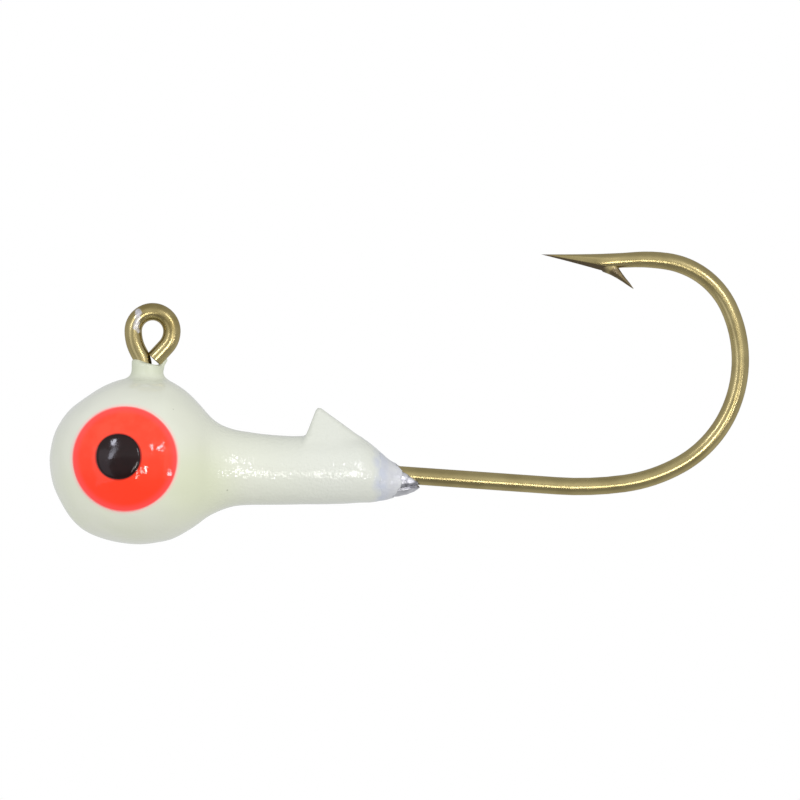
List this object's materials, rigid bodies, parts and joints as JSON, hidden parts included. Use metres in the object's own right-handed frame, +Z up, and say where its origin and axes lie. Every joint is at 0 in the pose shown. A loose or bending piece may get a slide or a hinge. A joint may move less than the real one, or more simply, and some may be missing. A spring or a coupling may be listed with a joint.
{
  "type": "ball jig head",
  "caption": "Ball-head fishing jig: a lead ball and collar with a keeper barb cast on a bronze barbed hook, painted glow white with red eyes.",
  "frame": {"origin": "centre of the line-tie eye, in the plane of the hook", "axes": "+X back along the shank towards the hook's bend, +Z up from the head to the eye, +Y square to the hook's plane"},
  "size_m": [0.0418, 0.0106, 0.0177],
  "materials": {
    "bronze_wire": "bronzed, glossy",
    "cast_lead": "as cast, dull grey with bright spots",
    "base_paint": "glossy bluish white undercoat",
    "glow_paint": "glossy pale green-white glow paint, slightly uneven",
    "iris_paint": "glossy fluorescent red",
    "pupil_paint": "glossy black, domed"
  },
  "bodies": {
    "root": {"hook": "bronze_wire", "lead_head": "cast_lead", "base_coat": "base_paint", "glow_coat": "glow_paint", "iris_left": "iris_paint", "iris_right": "iris_paint", "pupil_left": "pupil_paint", "pupil_right": "pupil_paint"}
  },
  "joints": []
}
